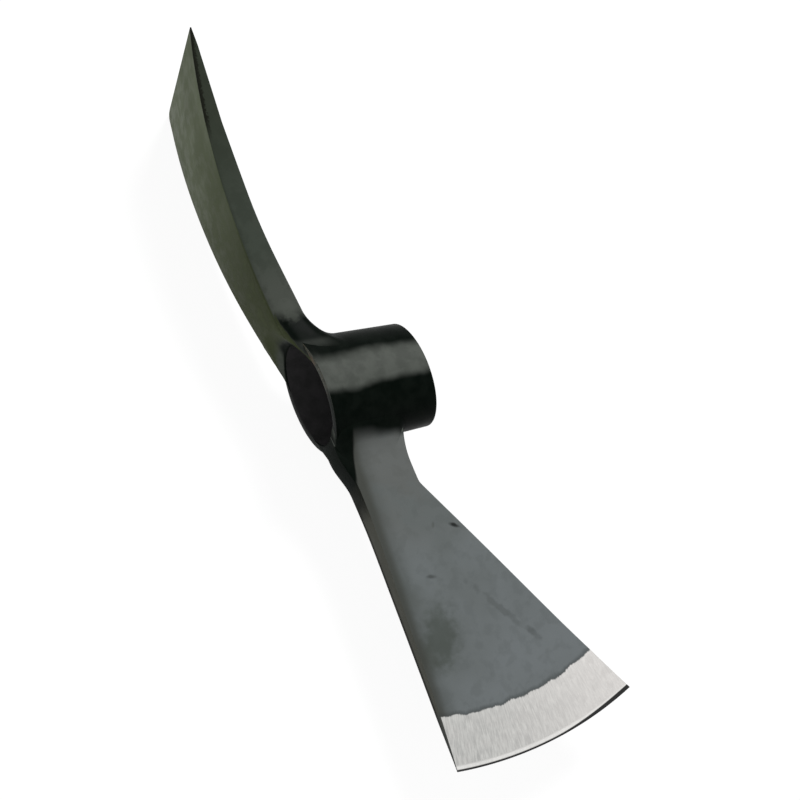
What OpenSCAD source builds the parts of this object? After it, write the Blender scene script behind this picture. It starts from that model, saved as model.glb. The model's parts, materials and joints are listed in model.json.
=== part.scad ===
// Head of a mattock: a leaning round eye with a hoe blade on one side and an axe blade on the other.
// X runs from the hoe to the axe, Y runs down the eye to the handle, and Z is up, with the head
// lying on its side. The origin is on the axis of the eye, half-way down.

/* [Eye] */
// Depth of the eye between its two rims
eye_depth = 42; // [38:0.5:48]
// Outer diameter at the top rim
eye_top_d = 44.6; // [43:0.2:48]
// Outer diameter at the lower rim
eye_low_d = 42.2; // [40:0.2:44]
// Thickness of the wall at the top rim, where the mouth is widened for the swelled end of the handle
eye_top_wall = 2.3; // [1.5:0.1:3.5]
// Thickness of the wall round the straight bore, at the narrower rim
eye_low_wall = 2.6; // [1.5:0.1:4]
// Depth of the taper from the mouth to the straight bore
mouth_depth = 18; // [10:0.5:28]
// Lean of the eye towards the axe, in degrees
rake = 7.2; // [0:0.2:10]

/* [Hoe blade] */
// Distance from the middle of the eye to the cutting edge
hoe_reach = 145.3; // [125:0.1:170]
// Width of the cutting edge
hoe_edge_w = 64; // [50:0.5:80]
// Width of the neck
hoe_neck_w = 30.6; // [24:0.2:34]
// Distance from the middle of the eye to the neck
hoe_neck_x = 42.6; // [38:0.2:48]
// Radius of the arched top face
hoe_top_r = 330; // [250:5:500]
// Height of the arch above the top rim
hoe_crown_h = 7.2; // [4:0.2:10]
// Distance from the middle of the eye to the highest point of the arch
hoe_crown_x = 66.6; // [55:0.2:80]
// Distance from the middle of the eye to the outer end of the level underside
hoe_level_x = 108; // [95:0.5:115]
// Distance from the middle of the eye to the place where the level underside starts to bend down
hoe_bend_x = 80; // [70:0.5:90]
// Depth of the level underside below the top rim
hoe_bend_drop = 1.9; // [1:0.1:4]
// Radius of the bend, which thickens the root
hoe_bend_r = 215; // [150:1:260]
// Fall of the underside from the bend to the eye, in degrees
hoe_root_fall = 7.4; // [5:0.1:9]
// Depth of the underside below the top face at the cutting edge, before the bevel is ground
hoe_edge_drop = 1.25; // [1:0.05:3]
// Length of the bevel ground on the underside of the edge
hoe_bevel_w = 7; // [4:0.5:14]
// Thickness left at the cutting edge
hoe_edge_t = 0.5; // [0.3:0.1:1]
// Radius of the two corners of the edge
hoe_corner_r = 2.5; // [1:0.5:6]
// Slope of the round that opens the mouth of the eye through the root, in degrees
hoe_mouth_slope = 45; // [30:1:60]

/* [Axe blade] */
// Distance from the middle of the eye to the furthest point of the cutting edge
axe_reach = 151.6; // [120:0.2:180]
// Width of the cutting edge, corner to corner
axe_edge_w = 77.6; // [60:0.2:90]
// Radius of the cutting edge
axe_edge_r = 156; // [100:1:300]
// Height of the upper corner of the edge above the top rim
axe_edge_rise = 3.6; // [0:0.2:8]
// Width of the neck
axe_neck_w = 22.6; // [18:0.2:28]
// Depth of the upper side of the neck below the top rim
axe_neck_drop = 2.9; // [1:0.1:6]
// Distance from the middle of the eye to the end of the neck
axe_neck_x = 44; // [36:0.5:56]
// Radius of the hollows that spread the neck to the eye
axe_root_r = 36; // [20:1:60]
// Distance from the middle of the eye to the start of those hollows
axe_root_x = 36; // [32:0.5:44]
// Thickness at the end of the neck
axe_neck_t = 11.6; // [8:0.2:14]
// Thickness where the ground bevel starts
axe_bevel_t = 4.8; // [3:0.2:7]
// Width of the ground bevel
axe_bevel_w = 19; // [12:0.5:26]
// Thickness left at the cutting edge
axe_edge_t = 0.5; // [0.3:0.1:1]

/* [Welds] */
// Distance from the axis of the eye to the end of the fillets beside the hoe
hoe_weld_reach = 40; // [34:0.5:42]
// Distance from the axis of the eye to the place where these fillets run out on the top rim
hoe_weld_run = 10; // [8:0.5:14]
// Radius of the fillet under the hoe
hoe_weld_r = 9; // [5:0.5:12]
// Distance from the axis of the eye to the end of the fillets beside the axe
axe_weld_reach = 36; // [30:0.5:40]
// Depth to which fillets and rounds are dressed into the flats beside them
weld_bite = 0.15; // [0.1:0.05:0.3]

/* [Hidden] */
$fn = 480;
overrun = 6;
lacquer = [0.17, 0.18, 0.18];
slate = [0.40, 0.42, 0.42];

// Height of the straight line through two points at a given x
function on_line(p, q, x) = p[1] + (q[1] - p[1]) * (x - p[0]) / (q[0] - p[0]);

// Height of an arc that sags towards its centre, at a given x
function on_arc(centre, r, x) = centre[1] - sqrt(r * r - pow(x - centre[0], 2));

// Point where the line from p along u meets the line from q along v
function lines_meet(p, u, q, v) =
    let (d = q - p)
    p + u * (d[0] * v[1] - d[1] * v[0]) / (u[0] * v[1] - u[1] * v[0]);

// Radius of the fillet that touches a round and a flat beside it
function fillet_r(reach, half, round_r) =
    (reach * reach + half * half - round_r * round_r) / (2 * (round_r - half));

// Eye
rim_y = -eye_depth / 2;
mouth_d = eye_top_d - 2 * eye_top_wall;
bore_d = min(eye_top_d, eye_low_d) - 2 * eye_low_wall;
eye_mid_r = (eye_top_d + eye_low_d) / 4;
eye_taper_share = (eye_top_d - eye_low_d) / eye_depth / 2;
eye_cut_reach = eye_depth + overrun;
mouth_lead = mouth_d * tan(rake) / 2 + overrun;
mouth_taper_share = (mouth_d - bore_d) / mouth_depth;

// Hoe, with its profile in X and Y and its sides in X and Z
hoe_neck_half = [-hoe_neck_x, hoe_neck_w / 2];
hoe_edge_half = [-hoe_reach, hoe_edge_w / 2];
hoe_top_centre = [-hoe_crown_x, rim_y - hoe_crown_h + hoe_top_r];
hoe_level = [-hoe_level_x, rim_y + hoe_bend_drop];
hoe_bend = [-hoe_bend_x, hoe_level[1]];
hoe_bend_centre = hoe_bend + [0, hoe_bend_r];
hoe_root_way = [cos(hoe_root_fall), sin(hoe_root_fall)];
hoe_root_down = [-sin(hoe_root_fall), cos(hoe_root_fall)];
hoe_bend_end = hoe_bend_centre - hoe_root_down * (hoe_bend_r - weld_bite);
hoe_edge_y = on_arc(hoe_top_centre, hoe_top_r, -hoe_reach);
hoe_under_end = [-hoe_reach, hoe_edge_y + hoe_edge_drop];
hoe_tip = [-hoe_reach, hoe_edge_y + hoe_edge_t];
hoe_bevel_x = hoe_bevel_w - hoe_reach;
hoe_bevel_end = [hoe_bevel_x, on_line(hoe_under_end, hoe_level, hoe_bevel_x)];

// Axe, with its outline in X and Y and its taper in X and Z
axe_corner_x = axe_reach - axe_edge_r + sqrt(pow(axe_edge_r, 2) - pow(axe_edge_w / 2, 2));
axe_far_x = axe_reach + overrun;
axe_top_y = rim_y + axe_neck_drop;
axe_low_y = axe_top_y + axe_neck_w;
axe_corner_y = rim_y - axe_edge_rise;
axe_upper = [[axe_neck_x, axe_top_y], [axe_corner_x, axe_corner_y]];
axe_lower = [[axe_neck_x, axe_low_y], [axe_corner_x, axe_corner_y + axe_edge_w]];
axe_upper_way = (axe_upper[1] - axe_upper[0]) / norm(axe_upper[1] - axe_upper[0]);
axe_root_top = [axe_root_x, on_line(axe_upper[0], axe_upper[1], axe_root_x)];
axe_neck_half = [axe_neck_x, axe_neck_t / 2];
axe_bevel_half = [axe_reach - axe_bevel_w, axe_bevel_t / 2];
axe_bevel_slope_share = (axe_bevel_t - axe_edge_t) / axe_bevel_w / 2;

// Fillet under the hoe, which touches its underside and the nearest line along the eye
eye_axis = [sin(rake), cos(rake)];
eye_out = [-cos(rake), sin(rake)];
eye_side_length = norm([1, eye_taper_share]);
eye_side = (eye_axis - eye_taper_share * eye_out) / eye_side_length;
eye_side_out = (eye_out + eye_taper_share * eye_axis) / eye_side_length;
hoe_weld_centre = lines_meet(
    hoe_bend_end + hoe_root_down * hoe_weld_r,
    hoe_root_way,
    eye_out * eye_mid_r + eye_side_out * hoe_weld_r,
    eye_side
);
hoe_weld_start = hoe_weld_centre - hoe_root_down * (hoe_weld_r + weld_bite);
hoe_weld_end = hoe_weld_centre - eye_side_out * hoe_weld_r;
hoe_weld_top = [-hoe_weld_reach, on_arc(hoe_top_centre, hoe_top_r, -hoe_weld_reach)];
hoe_weld_last = [-hoe_weld_run, rim_y];

// Turns shapes drawn along Z onto the axis of the eye
module along_eye() {
    rotate([0, 0, -rake])
        rotate([-90, 0, 0])
            children();
}

// Extrudes a profile in X and Y to both sides of the head
module across_head() {
    linear_extrude(height = hoe_edge_w + 2 * overrun, center = true)
        children();
}

// Extrudes an outline in X and Z up and down through the head
module down_head() {
    rotate([90, 0, 0])
        linear_extrude(height = 2 * axe_edge_w + 2 * overrun, center = true)
            children();
}

// Outside of the eye, longer than the eye at both ends
module eye_outside() {
    along_eye()
        translate([0, 0, -eye_cut_reach])
            cylinder(
                h = 2 * eye_cut_reach,
                r1 = eye_mid_r + eye_taper_share * eye_cut_reach,
                r2 = eye_mid_r - eye_taper_share * eye_cut_reach
            );
}

// Outside of the eye below its top rim, to a given depth
module eye_core(depth) {
    intersection() {
        eye_outside();
        translate([-eye_top_d, rim_y, -eye_top_d])
            cube([2 * eye_top_d, depth, 2 * eye_top_d]);
    }
}

// Round that opens the mouth of the eye through what lies on the top rim
module mouth_round() {
    slope_share = 1 / tan(hoe_mouth_slope);
    reach = hoe_crown_h + overrun;
    translate([rim_y * tan(rake), rim_y + overrun, 0])
        rotate([90, 0, 0])
            cylinder(
                h = reach + overrun,
                r1 = mouth_d / 2 - overrun * slope_share,
                r2 = mouth_d / 2 + reach * slope_share
            );
}

module eye_bore() {
    along_eye() {
        translate([0, 0, -eye_cut_reach])
            cylinder(h = 2 * eye_cut_reach, d = bore_d);
        translate([0, 0, rim_y - mouth_lead])
            cylinder(
                h = mouth_depth + mouth_lead,
                d1 = mouth_d + mouth_taper_share * mouth_lead,
                d2 = bore_d
            );
    }
}

module eye_tube() {
    color(lacquer)
        difference() {
            eye_core(eye_depth);
            eye_bore();
        }
}

// Everything under the arched top face of the hoe
module under_hoe_top() {
    across_head()
        translate(hoe_top_centre)
            circle(r = hoe_top_r);
}

// Everything between the two sides of the hoe, with the corners of its edge rounded
module between_hoe_sides() {
    eye_half = on_line(hoe_edge_half, hoe_neck_half, 0);
    down_head()
        difference() {
            polygon([
                [0, eye_half],
                [0, -eye_half],
                [-hoe_reach, -hoe_edge_w / 2],
                [-hoe_reach, hoe_edge_w / 2]
            ]);
            for (side = [-1, 1])
                difference() {
                    translate([-hoe_reach, side * hoe_edge_w / 2])
                        square(2 * hoe_corner_r, center = true);
                    translate([hoe_corner_r - hoe_reach, side * (hoe_edge_w / 2 - hoe_corner_r)])
                        circle(r = hoe_corner_r);
                }
        }
}

// Everything under the hoe: the fall at its root, the bend, the level underside and the edge
module below_hoe() {
    far_x = -hoe_reach - overrun;
    across_head() {
        translate(hoe_bend_centre)
            circle(r = hoe_bend_r);
        polygon([
            hoe_bend,
            hoe_level,
            hoe_bevel_end,
            [far_x, on_line(hoe_tip, hoe_bevel_end, far_x)],
            [far_x, hoe_bend_centre[1]],
            hoe_bend_centre
        ]);
        polygon([
            hoe_bend_end,
            lines_meet(hoe_bend_end, hoe_root_way, [0, 0], [0, 1]),
            [0, hoe_bend_centre[1]],
            hoe_bend_centre
        ]);
    }
}

// Hoe without its top face, before its root is cut to the eye
module hoe_bar() {
    difference() {
        between_hoe_sides();
        below_hoe();
    }
}

module hoe_blade() {
    color(slate)
        difference() {
            intersection() {
                hoe_bar();
                under_hoe_top();
            }
            eye_core(eye_cut_reach);
            mouth_round();
        }
}

// Outline of the axe before its edge is curved
module axe_outline() {
    polygon([
        [0, on_line(axe_upper[0], axe_upper[1], 0)],
        [axe_far_x, on_line(axe_upper[0], axe_upper[1], axe_far_x)],
        [axe_far_x, on_line(axe_lower[0], axe_lower[1], axe_far_x)],
        axe_lower[0],
        [0, axe_low_y]
    ]);
    difference() {
        translate([0, rim_y])
            square([axe_root_x, -rim_y]);
        translate(axe_root_top + [axe_upper_way[1], -axe_upper_way[0]] * (axe_root_r - weld_bite))
            circle(r = axe_root_r);
    }
    difference() {
        square([axe_root_x, axe_low_y + axe_root_r - weld_bite]);
        translate([axe_root_x, axe_low_y + axe_root_r - weld_bite])
            circle(r = axe_root_r);
    }
}

// Taper of the axe from the eye to its edge
module axe_taper() {
    root_half = on_line(axe_neck_half, axe_bevel_half, 0);
    far_half = on_line(axe_neck_half, axe_bevel_half, axe_far_x);
    down_head()
        polygon([[0, root_half], [axe_far_x, far_half], [axe_far_x, -far_half], [0, -root_half]]);
}

// Curved cutting edge with the same bevel ground on both faces
module axe_edge() {
    edge_half = axe_edge_t / 2;
    apex_half = edge_half + axe_edge_r * axe_bevel_slope_share;
    translate([axe_reach - axe_edge_r, axe_corner_y + axe_edge_w / 2, 0])
        rotate_extrude()
            polygon([[0, apex_half], [0, -apex_half], [axe_edge_r, -edge_half], [axe_edge_r, edge_half]]);
}

module axe_blade() {
    color(slate)
        difference() {
            intersection() {
                across_head()
                    axe_outline();
                axe_taper();
                axe_edge();
            }
            eye_outside();
        }
}

// Corners between the eye and a blade, filled to a hollow round on one side or on both
module root_fillet(reach, half, sides) {
    r = fillet_r(reach, half, eye_low_d / 2 - weld_bite);
    centre_y = half + r;
    along_eye()
        linear_extrude(height = 2 * eye_cut_reach, center = true)
            difference() {
                polygon([[0, 0], [reach, sides[0] * centre_y], [reach, sides[1] * centre_y]]);
                for (side = [-1, 1])
                    translate([reach, side * centre_y])
                        circle(r = r);
            }
}

// Space of the fillets round the hoe, from their fall to the top rim down to the hollow under the root
module under_fillet() {
    far_x = -hoe_weld_reach - overrun;
    across_head()
        difference() {
            polygon([
                hoe_weld_centre,
                hoe_weld_start,
                lines_meet(hoe_weld_start, hoe_root_way, [far_x, 0], [0, 1]),
                [far_x, on_line(hoe_weld_top, hoe_weld_last, far_x)],
                [0, on_line(hoe_weld_top, hoe_weld_last, 0)],
                [0, hoe_weld_end[1]],
                hoe_weld_end
            ]);
            translate(hoe_weld_centre)
                circle(r = hoe_weld_r + weld_bite);
        }
}

module hoe_weld() {
    half = on_line(hoe_edge_half, hoe_neck_half, -hoe_weld_reach) - weld_bite;
    color(lacquer)
        difference() {
            intersection() {
                mirror([1, 0, 0])
                    root_fillet(hoe_weld_reach, half, [-1, 1]);
                under_fillet();
            }
            hoe_bar();
            eye_core(eye_cut_reach);
            mouth_round();
        }
}

// Fillet on the lower face of the axe
module axe_weld() {
    half = on_line(axe_neck_half, axe_bevel_half, axe_weld_reach) - weld_bite;
    color(lacquer)
        difference() {
            intersection() {
                across_head()
                    axe_outline();
                root_fillet(axe_weld_reach, half, [0, 1]);
            }
            axe_taper();
            eye_outside();
        }
}

module axe_weld_upper() {
    mirror([0, 0, 1])
        axe_weld();
}

module axe_weld_lower() {
    axe_weld();
}

eye_tube();
hoe_blade();
axe_blade();
hoe_weld();
axe_weld_upper();
axe_weld_lower();
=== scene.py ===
# %% [markdown]
# # A mattock head
# This lesson dresses the steel head of a mattock: a round eye for the handle, an arched hoe blade on
# one side and a flared axe blade on the other. The frame brings the exact solids in metres, so every
# piece below goes where its solid is. The box of the solids is kept, and the floor is laid under it.

# %% Load the frame
import json
import math
from collections import Counter

import bmesh
import bpy
from mathutils import Matrix, Vector

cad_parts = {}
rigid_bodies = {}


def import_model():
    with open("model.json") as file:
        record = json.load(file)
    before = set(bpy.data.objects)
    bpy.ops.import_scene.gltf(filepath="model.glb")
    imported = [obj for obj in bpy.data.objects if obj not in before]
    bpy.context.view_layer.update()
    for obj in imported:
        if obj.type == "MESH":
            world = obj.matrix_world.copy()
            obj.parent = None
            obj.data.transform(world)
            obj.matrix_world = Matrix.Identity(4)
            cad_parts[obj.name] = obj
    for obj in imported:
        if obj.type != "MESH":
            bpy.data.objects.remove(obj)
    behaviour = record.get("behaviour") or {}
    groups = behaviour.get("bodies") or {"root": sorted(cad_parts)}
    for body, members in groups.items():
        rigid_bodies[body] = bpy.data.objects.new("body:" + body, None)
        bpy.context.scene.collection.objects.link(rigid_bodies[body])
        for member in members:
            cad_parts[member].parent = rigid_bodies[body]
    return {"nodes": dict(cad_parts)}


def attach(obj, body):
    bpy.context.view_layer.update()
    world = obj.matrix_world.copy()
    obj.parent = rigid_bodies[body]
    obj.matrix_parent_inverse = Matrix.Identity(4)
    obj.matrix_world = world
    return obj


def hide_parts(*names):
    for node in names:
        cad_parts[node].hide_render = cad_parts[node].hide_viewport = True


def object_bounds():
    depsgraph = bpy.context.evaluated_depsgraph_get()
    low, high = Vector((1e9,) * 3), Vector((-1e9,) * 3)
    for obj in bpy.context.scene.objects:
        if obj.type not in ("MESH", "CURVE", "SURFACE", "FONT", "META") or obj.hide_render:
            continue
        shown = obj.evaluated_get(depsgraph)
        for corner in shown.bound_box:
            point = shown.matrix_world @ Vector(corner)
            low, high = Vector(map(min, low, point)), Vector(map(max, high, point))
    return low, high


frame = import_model()
solid_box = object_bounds()
scene = bpy.context.scene
scene.view_settings.view_transform = "Standard"
mm = 0.001
print("nodes:", sorted(frame["nodes"]))
print("solid box in mm:", [[round(c / mm, 1) for c in corner] for corner in solid_box])

# %% [markdown]
# ## Camera
# The head lies on its side, and the photographer stood above it with a slightly long lens and turned
# the camera. Position, aim and turn are given as plain vectors, because a turned camera is easier to
# read as "this way is up in the picture" than as three angles.

# %% Set the camera
look = Vector((-0.167791, 0.381418, -0.909047))
picture_up = Vector((-0.903582, 0.309214, 0.296522))
picture_right = look.cross(picture_up).normalized()
bpy.ops.object.select_all(action="DESELECT")
bpy.ops.object.camera_add(location=(92.77 * mm, -173.44 * mm, 444.46 * mm))
camera = bpy.context.object
camera.name = "photo_camera"
camera.rotation_euler = Matrix((picture_right, picture_up, -look)).transposed().to_euler()
camera.data.sensor_width = 36
camera.data.lens = 56.26
camera.data.clip_start = 0.01
scene.camera = camera
print("camera stands", round(camera.location.length / mm), "mm from the eye")

# %% [markdown]
# ## Floor and light
# A pale floor runs under the head and stays white in the picture, except where the head shades it. White
# comes from the floor and the world as the camera and the polished steel see them, so the lamps can stay at a
# level at which each colour looks as it is written.

# %% Lay the floor


def rays_that_see(tree):
    """Gives 1 for rays of the camera, of reflections and through glass, and 0 for those that only bring light."""
    path = tree.nodes.new("ShaderNodeLightPath")
    found = path.outputs["Is Camera Ray"]
    for ray in ("Is Glossy Ray", "Is Transmission Ray"):
        either = tree.nodes.new("ShaderNodeMath")
        either.operation = "MAXIMUM"
        tree.links.new(found, either.inputs[0])
        tree.links.new(path.outputs[ray], either.inputs[1])
        found = either.outputs[0]
    return found


floor_gap, glow_share = 0.45 * mm, 0.84
floor_z = solid_box[0].z - floor_gap
bpy.ops.object.select_all(action="DESELECT")
bpy.ops.mesh.primitive_plane_add(size=8, location=(0, 0, floor_z))
floor = bpy.context.object
floor.name = "floor"
bpy.ops.object.transform_apply(location=True, rotation=True, scale=True)

paper = bpy.data.materials.new("pale_paper")
paper.use_nodes = True
tree = paper.node_tree
tree.nodes.clear()
out = tree.nodes.new("ShaderNodeOutputMaterial")
matt = tree.nodes.new("ShaderNodeBsdfDiffuse")
matt.inputs["Color"].default_value = (0.86, 0.86, 0.86, 1)
glow = tree.nodes.new("ShaderNodeEmission")
glow.inputs["Strength"].default_value = 1.08
share = tree.nodes.new("ShaderNodeMath")
share.operation = "MULTIPLY"
share.inputs[1].default_value = glow_share
tree.links.new(rays_that_see(tree), share.inputs[0])
both = tree.nodes.new("ShaderNodeMixShader")
tree.links.new(share.outputs[0], both.inputs["Fac"])
tree.links.new(matt.outputs[0], both.inputs[1])
tree.links.new(glow.outputs[0], both.inputs[2])
tree.links.new(both.outputs[0], out.inputs["Surface"])
floor.data.materials.append(paper)
print("floor at", round(floor_z / mm, 1), "mm")

# %% [markdown]
# The world gives an even, soft light, a small key lamp behind the hoe makes the shadow, and a large fill lamp
# on the mouth's side softens it.

# %% Light the room
world = bpy.data.worlds.new("soft_room")
scene.world = world
world.use_nodes = True
tree = world.node_tree
tree.nodes.clear()
out = tree.nodes.new("ShaderNodeOutputWorld")
air = tree.nodes.new("ShaderNodeBackground")
air.inputs["Color"].default_value = (1, 1, 1, 1)
level = tree.nodes.new("ShaderNodeMapRange")
level.inputs["To Min"].default_value = 0.32
level.inputs["To Max"].default_value = 1.0
tree.links.new(rays_that_see(tree), level.inputs["Value"])
tree.links.new(level.outputs[0], air.inputs["Strength"])
tree.links.new(air.outputs[0], out.inputs["Surface"])


def add_lamp(name, location, size, energy):
    """A square soft lamp that faces the head."""
    bpy.ops.object.select_all(action="DESELECT")
    bpy.ops.object.light_add(type="AREA", location=location)
    lamp = bpy.context.object
    lamp.name = name
    lamp.data.size = size
    lamp.data.energy = energy
    lamp.rotation_euler = (-lamp.location).to_track_quat("-Z", "Y").to_euler()
    print(name, "stands", round(lamp.location.length, 2), "m away")


add_lamp("key_lamp", (-0.53, 0.46, 0.97), 0.3, 10)
add_lamp("fill_lamp", (0.25, -0.85, 0.55), 0.9, 4)

# %% [markdown]
# ## Eye
# The eye is a short piece of thick tube, a little wider at the top, that leans towards the axe. Both its
# rims are cut level with the head. It is drawn as one ring of points at the top rim, which is extruded
# down the outside, in at the lower rim and back up the bore, and then the two open rings are bridged.

# %% Prepare rings round the leaning axis
lean = math.radians(7.2)
rim_top, rim_low = -21, 21


def on_axis(y):
    """Point of the leaning axis at a height in mm."""
    return Vector((y * math.tan(lean), y, 0)) * mm


def start_ring(y, r, points):
    """Starts a piece with one ring of points, level with the head, and selects it."""
    bpy.ops.object.select_all(action="DESELECT")
    bpy.ops.mesh.primitive_circle_add(
        vertices=points, radius=r * mm, location=on_axis(y), rotation=(math.radians(90), 0, 0)
    )
    bpy.ops.object.transform_apply(location=True, rotation=True, scale=True)
    bpy.ops.object.mode_set(mode="EDIT")
    bpy.ops.mesh.select_all(action="SELECT")
    bpy.ops.transform.resize(value=(1 / math.cos(lean), 1, 1), center_override=on_axis(y))
    return bpy.context.object


def next_ring(y_from, y_to, r_from, r_to):
    """Extrudes the selected ring along the axis to a new height and radius."""
    move = on_axis(y_to) - on_axis(y_from)
    bpy.ops.mesh.extrude_region_move(TRANSFORM_OT_translate={"value": move})
    grow = r_to / r_from
    bpy.ops.transform.resize(value=(grow, grow, grow), center_override=on_axis(y_to))


def bridge_open_rings():
    bpy.ops.mesh.select_mode(type="EDGE")
    bpy.ops.mesh.select_all(action="DESELECT")
    bpy.ops.mesh.select_non_manifold()
    bpy.ops.mesh.bridge_edge_loops()


def turn_outwards():
    """Turns all faces of the piece in hand to the outside and leaves it."""
    bpy.ops.mesh.select_all(action="SELECT")
    bpy.ops.mesh.normals_make_consistent(inside=False)
    bpy.ops.object.mode_set(mode="OBJECT")


print("axis leans by", round(math.degrees(lean), 1), "degrees")

# %% [markdown]
# The outside swells towards the top rim, and the blades sit on that swelling, so its heights and radii are kept
# for the saddle cut. The bore is straight below and widens to the mouth.

# %% Model the eye
ring_points, bore_r, rim_bevel = 160, 18.5, 0.35
swelling = [(rim_top, 23.4), (-19, 22.9), (-16, 22.4), (-11, 22.05)]
outside = swelling + [(-7, 21.9), (0, 21.7), (7, 21.5), (14, 21.3), (rim_low, 21.1)]
inside = [(rim_low, bore_r), (12, bore_r), (-3, bore_r), (-12, 19.25), (rim_top, 20.0)]
rings = outside + inside
eye = start_ring(*rings[0], ring_points)
eye.name = "eye_ring"
for (y_from, r_from), (y_to, r_to) in zip(rings, rings[1:]):
    next_ring(y_from, y_to, r_from, r_to)
bridge_open_rings()
bpy.ops.mesh.select_all(action="SELECT")
bpy.ops.mesh.normals_make_consistent(inside=False)
bpy.ops.mesh.select_all(action="DESELECT")
bpy.ops.mesh.edges_select_sharp(sharpness=math.radians(45))
bpy.ops.mesh.bevel(offset=rim_bevel * mm, segments=4, profile=0.5, affect="EDGES")
bpy.ops.object.mode_set(mode="OBJECT")
bpy.ops.object.shade_smooth_by_angle(angle=math.radians(40))
print("eye:", len(eye.data.polygons), "faces")

# %% [markdown]
# ## Saddle cut
# A smith cuts the root of each blade hollow, so that it sits on the round eye. We do the same with cutters
# that are turned round the eye's axis, and a Boolean modifier. First come the tools for any cut.

# %% Prepare the cuts
cutter_points = 256


def apply_modifiers(piece):
    bpy.context.view_layer.objects.active = piece
    for modifier in list(piece.modifiers):
        bpy.ops.object.modifier_apply(modifier=modifier.name)


def cut(piece, cutter, operation="DIFFERENCE"):
    """Takes the cutter's shape out of a piece, joins it on or keeps only what lies inside it."""
    boolean = piece.modifiers.new("cut", "BOOLEAN")
    boolean.operation = operation
    boolean.solver = "EXACT"
    boolean.object = cutter
    apply_modifiers(piece)


def pick(piece):
    bpy.ops.object.select_all(action="DESELECT")
    piece.select_set(True)
    bpy.context.view_layer.objects.active = piece


def throw_away(piece):
    pick(piece)
    bpy.ops.object.delete()


def turned_cutter(profile):
    """A closed cutter round the eye's axis, from heights and radii in mm."""
    cutter = start_ring(*profile[0], cutter_points)
    bpy.ops.mesh.edge_face_add()
    for (y_from, r_from), (y_to, r_to) in zip(profile, profile[1:]):
        next_ring(y_from, y_to, r_from, r_to)
    turn_outwards()
    return cutter


print("cutters have", cutter_points, "points round the axis")

# %% [markdown]
# The first cutter is the eye's own outside, which ends at the top rim. The second is a trumpet that rounds off
# whatever lies on the rim and opens the mouth through it. A Boolean leaves crumbs where two skins nearly touch,
# and they are swept up, until one closed body is left. The cuts come last, after the long edges are rounded.

# %% Prepare the saddle cut
eye_profile = swelling + [(49, 20.3)]
mouth_profile = [(-20, 19.93), (-21.4, 20.0), (-22, 20.4), (-23, 21.2)]
mouth_profile += [(-24, 22.4), (-25, 24.2), (-26, 27), (-31, 40)]
crumb = 0.01 * mm


def sweep_up(piece):
    """Throws away the crumbs of the cuts: slivers, flat flaps that hang on an edge and loose bits."""
    pick(piece)
    bpy.ops.object.mode_set(mode="EDIT")
    bpy.ops.mesh.select_mode(type="FACE")
    bpy.ops.mesh.select_all(action="SELECT")
    bpy.ops.mesh.remove_doubles(threshold=crumb)
    bpy.ops.mesh.quads_convert_to_tris()
    bpy.ops.mesh.dissolve_degenerate(threshold=crumb)
    bpy.ops.mesh.quads_convert_to_tris()
    bpy.ops.mesh.select_all(action="DESELECT")
    bpy.ops.mesh.select_interior_faces()
    shape = bmesh.from_edit_mesh(piece.data)
    layers = Counter(frozenset(face.verts) for face in shape.faces)
    for face in shape.faces:
        if layers[frozenset(face.verts)] > 1:
            face.select_set(True)
    bpy.ops.mesh.delete(type="ONLY_FACE")
    bpy.ops.mesh.select_all(action="SELECT")
    bpy.ops.mesh.delete_loose()
    bpy.ops.mesh.select_all(action="DESELECT")
    shape = bmesh.from_edit_mesh(piece.data)
    max(shape.faces, key=lambda face: face.calc_area()).select_set(True)
    bpy.ops.mesh.select_linked()
    bpy.ops.mesh.select_all(action="INVERT")
    bpy.ops.mesh.delete(type="VERT")
    bpy.ops.object.mode_set(mode="OBJECT")


def saddle_cut(piece):
    """Cuts a blade's root to the outside and to the mouth of the eye."""
    for profile in (eye_profile, mouth_profile):
        cutter = turned_cutter(profile)
        cut(piece, cutter)
        throw_away(cutter)
    sweep_up(piece)
    bpy.ops.object.shade_smooth_by_angle(angle=math.radians(30))


print("saddle cut ready:", len(mouth_profile), "rings round the mouth")

# %% [markdown]
# Two more tools serve both blades. One melts the corner between a root and the eye to a hollow, and the other
# gives each edge of a mesh a radius of its own, as a weight of one Bevel modifier.

# %% Prepare melted corners and rounded edges
eye_body = [(rim_top, 22.3), (rim_low, 21.1)]


def melt(piece, passes):
    """Joins a piece to the body of the eye and lets the corner between them run hollow."""
    body = turned_cutter(eye_body)
    cut(piece, body, "UNION")
    throw_away(body)
    skin = piece.modifiers.new("skin", "REMESH")
    skin.mode = "VOXEL"
    skin.voxel_size = 0.7 * mm
    run = piece.modifiers.new("run", "SMOOTH")
    run.factor = 0.6
    run.iterations = passes
    sink = piece.modifiers.new("sink", "DISPLACE")
    sink.mid_level = 0
    sink.strength = -0.12 * mm
    apply_modifiers(piece)


def round_edges(piece, radius_at):
    """Rounds edges of a piece; radius_at gives the radius in mm for the two ends of an edge."""
    radii = []
    for edge in piece.data.edges:
        a, b = (piece.data.vertices[i].co / mm for i in edge.vertices)
        radii.append(radius_at(a, b))
    widest = max(radii)
    weights = piece.data.attributes.new("bevel_weight_edge", "FLOAT", "EDGE")
    for edge, radius in zip(piece.data.edges, radii):
        weights.data[edge.index].value = radius / widest
    rounding = piece.modifiers.new("round_edges", "BEVEL")
    rounding.limit_method = "WEIGHT"
    rounding.width = widest * mm
    rounding.segments = 5
    apply_modifiers(piece)


def smooth(t):
    """Runs from 0 to 1 with soft ends."""
    t = min(max(t, 0), 1)
    return t * t * (3 - 2 * t)


print("melted corners run down to the body of the eye:", eye_body)

# %% [markdown]
# Each finished piece takes the place of its solid and rides on the one body of the head. The eye is the
# first.

# %% Seat the eye


def seat(piece, node):
    """Puts a piece in the place of its solid."""
    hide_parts(node)
    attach(piece, "root")


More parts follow.
